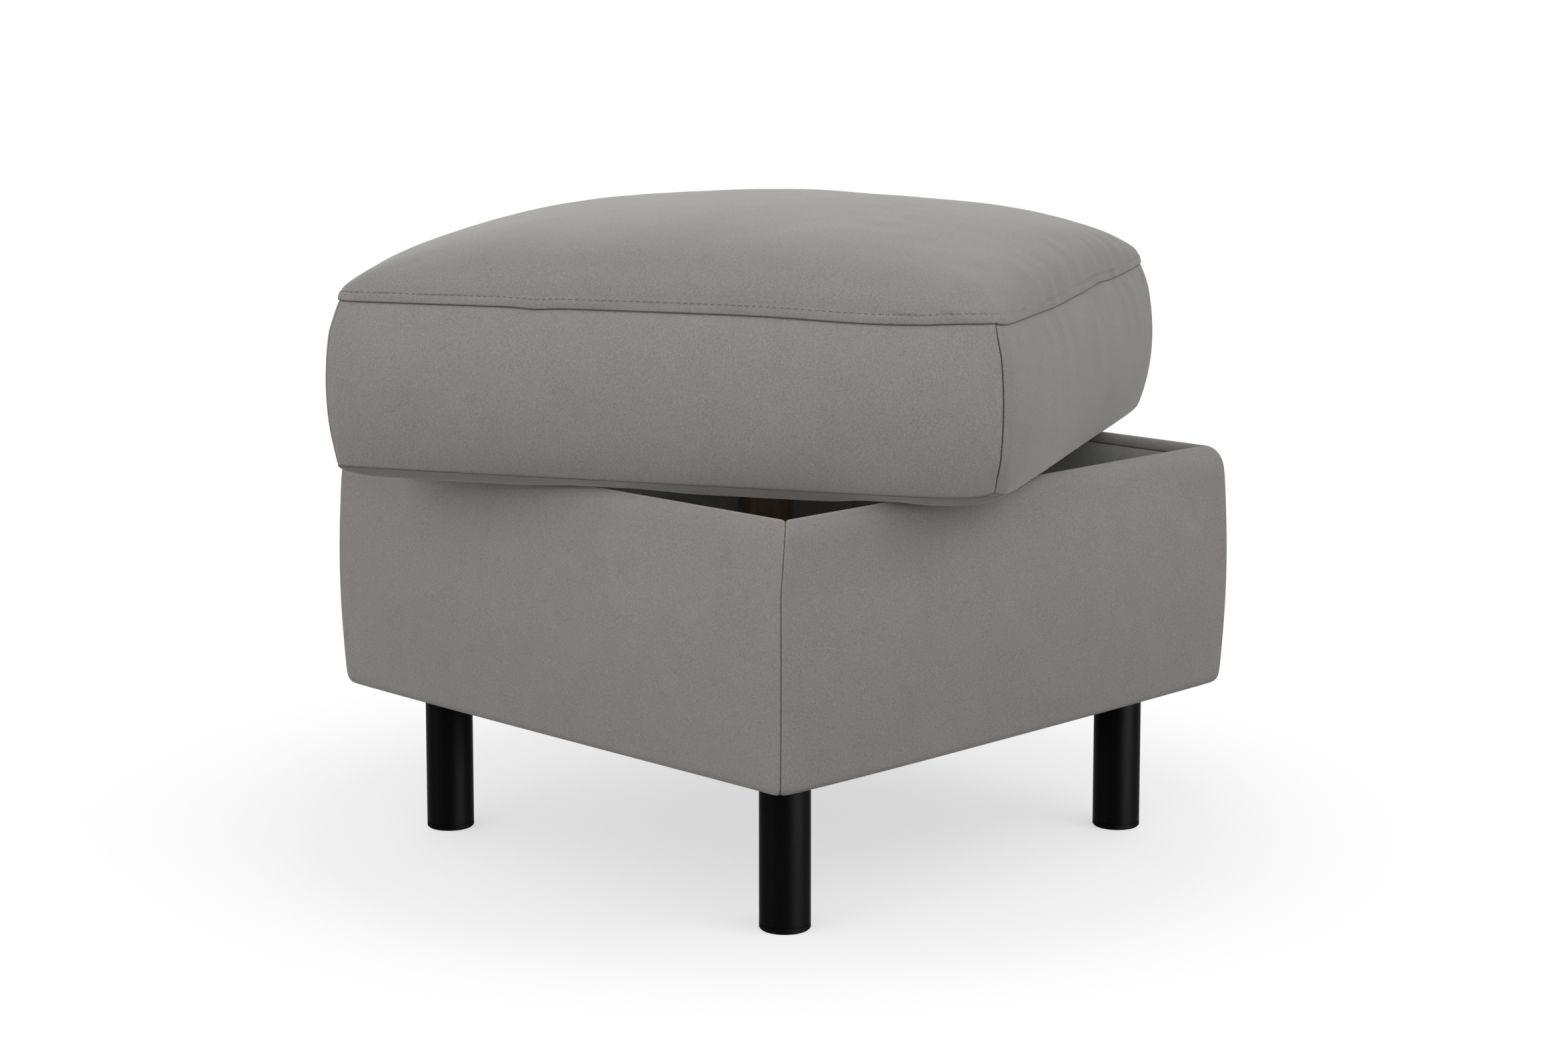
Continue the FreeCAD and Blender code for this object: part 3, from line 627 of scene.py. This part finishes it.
def cushion_side(side, u):
    """Points of the boxing on one side, from its lower seam up, and the painted shade of their
    seams.
    """
    height = HIGH_SEAM - LOW_SEAM
    t_step = finer_by_seams(finest=0.0004, wider=0.0030, over=0.008)
    t = spaced(np.linspace(0, 1, 500) * height, t_step) / height
    s, t = np.meshgrid(u, 2 * t - 1, indexing="ij")
    low = LOW_SEAM + low_wave(side, s)
    high = HIGH_SEAM + seam_wave(side, s)
    z = (low + high) / 2 + t * (high - low) / 2
    x = s * SEAM_HALF
    corner, below, above = (1 - np.abs(s)) * SEAM_HALF, high - z, z - low
    round_off = np.maximum(1 - np.abs(t) ** 2.3, 0) ** 0.8
    swell = BOXING_BOW * (1 - t ** 2) + BOXING_SWELL * (1 - decay(corner, reach=0.040)) * round_off
    push = (
        -CORNER_DENT * decay(corner, reach=0.002) + crease(corner, CORNER_LINE, reach=0.0008)
        - HIGH_DENT * decay(below, reach=0.0012) + crease(above, LOW_LINE, reach=0.0007)
    )
    free = 1 - bell(corner, 0, CORNER_CLEAR)
    fold = BOXING_FOLD * FOLD * gathers(side, s) * fading(below, reach=0.035)
    push = push + fold * (1 - decay(below, reach=0.002)) * free
    wave, wavelength, seed = BOXING_WAVES
    push = push + wave * free * ripples(x, z, wavelength, seed + side) * (1 - t ** 2)
    n = SEAM_HALF + swell + push
    # Painted shade in the grooves of the corner, upper and lower seams.
    seam = np.maximum.reduce([
        bell(corner, 0, width=0.0006), HIGH_SEAM_SHADE * bell(below, 0, width=0.0006),
        HIGH_SEAM_SHADE * bell(above, 0, width=0.0004),
    ])
    return np.stack([s * n, -n, z], axis=-1), seam


def panel_edges(boxings, row):
    """Border of a square panel from one row of the four boxings, by side of its grid."""
    return [turned(grid[:, row], 90 * side) for side, grid in enumerate(boxings)]


def set_border(grid, lines):
    """Put four lines onto a panel's border. Grid axes run along X, then along Y."""
    grid[:, 0] = lines[0]
    grid[-1, :] = lines[1]
    grid[:, -1] = lines[2][::-1]
    grid[0, :] = lines[3][::-1]


def by_side(x, y):
    """Place along each side and towards it, for places from -1 to 1 across a panel."""
    return ((x, -y), (y, x), (-x, y), (-y, -x))


def from_edges(grid):
    """Distance of each point of a panel from its seams, and from each pair of edges."""
    along = run(grid)
    up = run(np.swapaxes(grid, 0, 1)).T
    a = np.minimum(along, along[-1:] - along)
    b = np.minimum(up, up[:, -1:] - up)
    near = (np.maximum(a, 1e-7) ** -5 + np.maximum(b, 1e-7) ** -5) ** -0.2
    return near, a, b


def top_panel(u):
    """Crowned panel with a sewn-down seam allowance, the painted shade of its seam and stitching
    dent, and its plain pattern.
    """
    x, y = np.meshgrid(u, u, indexing="ij")
    to_y, to_x = 1 - np.abs(y), 1 - np.abs(x)
    fullness = (1 - np.abs(x) ** CROWN_POWER) * (1 - np.abs(y) ** CROWN_POWER)
    rise = CROWN * np.maximum(fullness, 0) ** CROWN_EDGE
    waves = [
        seam_wave(side, s) * np.clip((1 + towards) / 2, 0, 1) ** 2
        for side, (s, towards) in enumerate(by_side(x, y))
    ]
    share = to_x / np.maximum(to_x + to_y, 1e-9)
    lift = (waves[0] + waves[2]) * share + (waves[1] + waves[3]) * (1 - share)
    height = HIGH_SEAM + rise + lift * decay(rise, reach=0.03)
    grid = np.stack([x * SEAM_HALF, y * SEAM_HALF, height], axis=-1)
    near, from_x, from_y = from_edges(grid)
    past_stitch = near - STITCH_IN
    flap = np.clip(near / FLAP_RISE, 0, 1) ** 0.5 / (1 + np.exp(past_stitch / FLAP_END))
    push = FLAP * flap + crease(past_stitch, STITCH_DENT, reach=0.0009)
    fold = np.zeros_like(near)
    for side, (s, towards) in enumerate(by_side(x, y)):
        depth = (from_y, from_x)[side % 2]
        fold = fold + gathers(side, s + LEAN * depth) * fading(depth, FOLD_REACH) * (towards > 0)
    free = 1 - bell(near, 0, width=0.004)
    push = push + FOLD * fold * free
    for height, wavelength, seed in TOP_WAVES:
        push = push + height * free * ripples(x * SEAM_HALF, y * SEAM_HALF, wavelength, seed)
    # Painted shade in the upper seam and along the dent of the stitches.
    seam = np.maximum(
        HIGH_SEAM_SHADE * bell(near, 0, width=0.0005), STITCH_LINE_SHADE * bell(near, STITCH_IN, width=0.0005)
    )
    return grid + normals(grid) * push[..., None], seam, grid


def bottom_panel(u):
    """Underside: pressed flat by the rim, slack beside it, and rolled up into its seam."""
    x, y = np.meshgrid(u, u, indexing="ij")
    grid = np.stack([x * SEAM_HALF, y * SEAM_HALF, np.zeros_like(x)], axis=-1)
    _, from_x, from_y = from_edges(grid)
    near = 1 / np.hypot(1 / np.maximum(from_x, 1e-6), 1 / np.maximum(from_y, 1e-6))
    corner = from_x + from_y
    out = np.abs(turned(grid, TURN) - BOX_AT)[..., :2].max(axis=-1)
    on_rim = between(out, *RIM_BAND, soft=0.026)
    front_or_back = np.abs(y) > np.abs(x)
    nearest = np.where(front_or_back, np.where(y < 0, 0, 2), np.where(x > 0, 1, 3))
    curl = np.choose(nearest, [low_wave(side, s) for side, (s, _) in enumerate(by_side(x, y))])
    curl = curl * decay(near, ROLL)
    longer = np.where((x < 0) & (y > 0), ROLL_LEFT, ROLL_LONGER)
    reach = ROLL * (1 + longer * decay(corner, reach=0.06))
    roll = np.sin(math.pi / 2 * np.clip(near / reach, 0, 1))
    hang = HANG + SLACK * (1 - smooth(on_rim)) * (1 - decay(corner, reach=0.05))
    grid[..., 2] = LOW_SEAM + curl - (hang + curl) * roll
    # The mark is painted shade in the lower seam.
    return grid, LOW_SEAM_SHADE * bell(near, 0, width=0.0003)


def closed(boxings, top, bottom):
    """Points and faces of one closed cover from four boxings, a top and an underside."""
    ring = np.concatenate([turned(grid, 90 * side)[:-1] for side, grid in enumerate(boxings)])
    count, rows = boxings[0].shape[:2]
    start = ring.shape[0] * rows
    wrapped = np.arange(start).reshape(ring.shape[:2])
    wrapped = np.concatenate([wrapped, wrapped[:1]], axis=0)
    points, faces, indices = [ring.reshape(-1, 3)], [quads(wrapped)], [wrapped]
    corners = [side * (count - 1) for side in range(4)]
    for grid, row, flip in ((top, rows - 1, False), (bottom, 0, True)):
        index = np.zeros((count, count), int)
        index[1:-1, 1:-1] = start + np.arange((count - 2) ** 2).reshape(count - 2, count - 2)
        start += (count - 2) ** 2
        set_border(index, [wrapped[first:first + count, row] for first in corners])
        points.append(grid[1:-1, 1:-1].reshape(-1, 3))
        faces.append(quads(index)[:, ::-1] if flip else quads(index))
        indices.append(index)
    return np.concatenate(points), np.concatenate(faces), indices


def settled(points, faces, held, snug):
    """Points of a closed cover after a short cloth simulation with pressure inside.

    held marks the points that stay, snug those whose cloth is cut no longer than its shape.
    """
    mesh = bpy.data.meshes.new("settling")
    mesh.from_pydata(points.tolist(), [], faces.tolist())
    body = bpy.data.objects.new("settling", mesh)
    bpy.context.scene.collection.objects.link(body)
    for name, weights in (("held", held), ("snug", snug)):
        group = body.vertex_groups.new(name=name)
        for number in np.nonzero(weights > 0)[0]:
            group.add([int(number)], float(weights[number]), "REPLACE")
    cloth = body.modifiers.new("cloth", "CLOTH")
    cloth.collision_settings.use_collision = False
    settings = cloth.settings
    settings.quality, settings.mass, settings.air_damping = 6, 0.3, 2.0
    settings.tension_stiffness = settings.compression_stiffness = 15
    settings.shear_stiffness, settings.bending_stiffness = 5, 0.3
    settings.use_pressure, settings.uniform_pressure_force = True, 4
    settings.shrink_min, settings.shrink_max = -LOOSE, 0.0
    settings.vertex_group_shrink, settings.vertex_group_mass = "snug", "held"
    settings.effector_weights.gravity = 0
    scene = bpy.context.scene
    cloth.point_cache.frame_start, cloth.point_cache.frame_end = 1, SETTLING_FRAMES
    for moment in range(1, SETTLING_FRAMES + 1):
        scene.frame_set(moment)
    done = body.evaluated_get(bpy.context.evaluated_depsgraph_get()).data
    moved = np.empty(len(points) * 3, np.float32)
    done.vertices.foreach_get("co", moved)
    bpy.data.objects.remove(body)
    bpy.data.meshes.remove(mesh)
    scene.frame_set(1)
    return moved.reshape(-1, 3).astype(float)


def picked(line, step):
    """Places along a row of points that stand about a step apart, with both ends."""
    length = run(line)
    wanted = np.linspace(0, length[-1], int(round(length[-1] / step)) + 1)
    return np.unique(np.searchsorted(length, wanted - 1e-9))


def kept_folds(move, broad):
    """Moves on a coarse grid without their broad swell, and none of them too far."""
    swell = move
    for axis, count in enumerate(broad):
        fit = basis(count, np.linspace(0, 1, move.shape[axis]))
        flat = np.tensordot(fit @ np.linalg.pinv(fit), swell, axes=(1, axis))
        swell = np.moveaxis(flat, 0, axis)
    folds = move - swell
    far = np.linalg.norm(folds, axis=-1, keepdims=True)
    return FOLD_SHARE * folds * np.minimum(1, FOLD_MOST / np.maximum(far, 1e-9))


def refined(folds, size, chosen):
    """Moves on a coarse grid, drawn smoothly over the fine grid that it was picked from."""
    weights = [
        basis(len(picks), np.interp(np.arange(count), picks, np.linspace(0, 1, len(picks))))
        for count, picks in zip(size, chosen)
    ]
    return np.einsum("ij,jbk,lb->ilk", weights[0], folds, weights[1])


def wrinkled(boxings, top, bottom):
    """The cover's grids with the folds that a cloth simulation of a coarser copy finds."""
    across = picked(top[:, top.shape[1] // 2], COARSE)
    up = picked(boxings[0][boxings[0].shape[0] // 2], COARSE)
    square = np.ix_(across, across)
    points, faces, (ring, upper, lower) = closed(
        [grid[np.ix_(across, up)] for grid in boxings], top[square], bottom[square]
    )
    x, y, _ = points.T / SEAM_HALF
    along_front = np.clip((-y - 0.55) / 0.3, 0, 1) * bell(x, 0.42, width=0.6)
    loose = LOOSE_ALL * np.clip((0.9 + x) / 0.3, 0, 1) + (1 - LOOSE_ALL) * along_front
    held = np.zeros(len(points))
    for seam in (lower, ring[:, 0], ring[:, -1], ring[::len(across) - 1]):
        held[seam] = 1
    moved = settled(points, faces, held, 1 - loose) - points
    sides, last = [], len(across) - 1
    for side, grid in enumerate(boxings):
        move = turned(moved[ring[side * last:(side + 1) * last + 1]], -90 * side)
        folds = refined(kept_folds(move, BROAD_SIDE), grid.shape, (across, up))
        below = HIGH_SEAM - grid[..., 2]
        faded = FOLDS_LOW + (1 - FOLDS_LOW) * bell(below, 0, width=0.034)
        faded = faded * (1 - bell(below, 0, width=0.006))
        sides.append(grid + faded[..., None] * folds)
    near, from_x, from_y = from_edges(top)
    clear = bell(near, 0, width=0.05) * (1 - bell(near, 0, width=0.009))
    clear = clear * (1 - bell(from_x + from_y, 0, width=0.07))
    folds = refined(kept_folds(moved[upper], BROAD_TOP), top.shape, (across, across))
    return sides, top + clear[..., None] * folds


def cushion_cover():
    """Top, boxing and underside as one closed cover. Gives back the top and its pattern."""
    u = edge_steps()
    boxings, seams = zip(*[cushion_side(side, u) for side in range(4)])
    top, top_seam_shade, pattern = top_panel(u)
    bottom, bottom_seam_shade = bottom_panel(u)
    set_border(top, panel_edges(boxings, -1))
    set_border(bottom, panel_edges(boxings, 0))
    boxings, top = wrinkled(boxings, top, bottom)
    points, faces, _ = closed(boxings, top, bottom)
    # Painted shade of the seams, carried by the seam mark to the velour.
    marks = [seam[:-1].ravel() for seam in seams]
    marks += [seam[1:-1, 1:-1].ravel() for seam in (top_seam_shade, bottom_seam_shade)]
    cover = piece(
        "seat_cushion", turned(rounded(points), TURN), faces, "cushion",
        FABRIC, {"seam": np.concatenate(marks)},
    )
    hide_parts("cushion_top_panel", "cushion_bottom_panel", "cushion_foam",
                "cushion_under_pad", *[f"cushion_boxing_{side}" for side in SIDES])
    return top, pattern


def along_line(line, length, at):
    """Values of a row of points at some distances along it."""
    return np.stack([np.interp(at, length, line[:, k]) for k in range(3)], axis=-1)


def stitches(top, pattern):
    """Topstitching along the upper seam, sunk in its dent. The pattern says how far in it lies."""
    out = normals(top)
    count, last = top.shape[0], STITCH_CORNERS * (len(STITCH_RINGS) - 1)
    points, faces = [], []
    for side in range(4):
        grid, lift, flat = (
            (made, made[::-1].swapaxes(0, 1), made[::-1, ::-1], made[:, ::-1].swapaxes(0, 1))[side]
            for made in (top, out, pattern)
        )
        far = run(flat.swapaxes(0, 1))                       # rows go in from this side's seam
        line, up = [], []
        for column in range(count):
            place = np.interp(STITCH_IN, far[:, column], np.arange(count))
            low = int(place)
            part = place - low
            line.append(grid[column, low] * (1 - part) + grid[column, low + 1] * part)
            up.append(lift[column, low])
        line, up = np.array(line), np.array(up)
        length = run(line)
        start = STITCH_FREE
        while start + STITCH_LONG < length[-1] - STITCH_FREE:
            at = np.linspace(start, start + STITCH_LONG, len(STITCH_RINGS))
            centre, lean = along_line(line, length, at), along_line(up, length, at)
            across = np.cross(lean, centre[-1] - centre[0])
            across /= np.linalg.norm(across, axis=-1, keepdims=True)
            first = len(points)
            for k, size in enumerate(STITCH_RINGS):
                for corner in range(STITCH_CORNERS):
                    angle = math.pi * corner / (STITCH_CORNERS / 2)
                    offset = across[k] * math.cos(angle) + lean[k] * (math.sin(angle) + THREAD_LIFT)
                    points.append(centre[k] + offset * THREAD_THICK * size)
            for ring in range(first, first + last, STITCH_CORNERS):
                for corner in range(STITCH_CORNERS):
                    a, b = ring + corner, ring + (corner + 1) % STITCH_CORNERS
                    faces.append([a, b, b + STITCH_CORNERS, a + STITCH_CORNERS])
            faces.append([first + corner for corner in range(STITCH_CORNERS)][::-1])
            faces.append([first + last + corner for corner in range(STITCH_CORNERS)])
            start += STITCH_PITCH
    piece(
        "cushion_topstitch", turned(rounded(np.array(points)), TURN), faces, "cushion",
        THREAD_WITH_SHADE,
    )


stitches(*cushion_cover())

# ------------------------------------------------------------------ stage
FLOOR_HALF, FLOOR_AT = 14, -0.0002              # half its width, and its height just under the feet
PAPER_SHADE, PAPER_GLOW = 0.44, 1.30            # by the object: share of glow, and its strength
WHITE_FROM, WHITE_TO = 0.38, 0.85               # distances over which the floor turns plain white
HORIZON, ZENITH = 1.50, 0.26                    # strength of the surroundings, level and overhead
TOWARDS = (-0.26, -0.12, 0)                     # which way they are brighter, and by how much


def paper(name, tone, bounce):
    """Floor that takes soft shadows and fades to plain white away from the object."""
    m = Nodes(bpy.data.materials.new(name))
    dimmer = tuple(0.98 * c for c in bounce[:3]) + (1,)
    m.finish(
        Roughness=0.9, Specular_IOR_Level=0.0,
        Base_Color=m.mix(m.spread(m.noise(scale=40)), bounce, dimmer),
    )
    away = m.maths("LENGTH", m.place(), kind="ShaderNodeVectorMath")
    fade = {"within": (WHITE_FROM, WHITE_TO)}
    shade = m.node("ShaderNodeBsdfDiffuse", Color=tone)
    white = m.node(
        "ShaderNodeEmission", Color=(1, 1, 1, 1), Strength=m.spread(away, PAPER_GLOW, 1.0, **fade)
    )
    glow = m.spread(away, PAPER_SHADE, 1.0, **fade)
    looked_at = m.mix_shaders(glow, shade.outputs[0], white.outputs[0])
    both = m.mix_shaders(m.seen(), m.shader.outputs[0], looked_at)
    m.feed(m.tree.nodes["Material Output"].inputs["Surface"], both)
    return m.owner


floor_mesh = bpy.data.meshes.new("floor")
floor_mesh.from_pydata(
    [(x * FLOOR_HALF, y * FLOOR_HALF, FLOOR_AT) for x, y in ((-1, -1), (1, -1), (1, 1), (-1, 1))],
    [], [(0, 1, 2, 3)],
)
floor = bpy.data.objects.new("floor", floor_mesh)
bpy.context.scene.collection.objects.link(floor)
floor_mesh.materials.append(
    paper("floor_paper", tone=srgb(252, 252, 252), bounce=srgb(104, 104, 104))
)

world = bpy.data.worlds.new("studio")
bpy.context.scene.world = world
m = Nodes(world, "Background")
way = m.node("ShaderNodeTexCoord").outputs["Generated"]
upward = m.node("ShaderNodeSeparateXYZ", Vector=way).outputs["Z"]
sky = m.spread(upward, HORIZON, ZENITH, within=(0, 1))
slant = m.maths("DOT_PRODUCT", way, TOWARDS, kind="ShaderNodeVectorMath")
around = m.maths("MULTIPLY_ADD", slant, sky, sky)
m.finish(Color=(1, 1, 1, 1), Strength=m.mix(m.seen(), around, 1.0, kind="FLOAT"))


def lamp(name, at, aim, size, power, glint=False):
    """A large soft area lamp. One made as a glint shows in gloss only, the others never do."""
    data = bpy.data.lights.new(name, "AREA")
    data.shape, data.size, data.energy = "DISK", size, power
    made = bpy.data.objects.new(name, data)
    bpy.context.scene.collection.objects.link(made)
    made.visible_diffuse, made.visible_glossy = not glint, glint
    made.location = at
    x, y, z = np.array(aim) - np.array(at)
    down = math.acos(-z / np.linalg.norm((x, y, z)))
    made.rotation_euler = (down, 0, math.atan2(y, x) - math.pi / 2)


lamp("left_fill", at=(-3.6, -0.4, 0.7), aim=(0, 0, 0.25), size=2.0, power=15)
lamp("right_high", at=(0.9, -2.6, 2.6), aim=(0, 0, 0.25), size=1.4, power=13)
lamp("glint_right", at=(0.6, -3.2, 0.5), aim=(0, 0, 0.1), size=0.7, power=1150, glint=True)
lamp("glint_left", at=(-3.2, 0.9, 0.5), aim=(0, 0, 0.1), size=0.7, power=90, glint=True)
bpy.context.scene.view_settings.view_transform = "Standard"
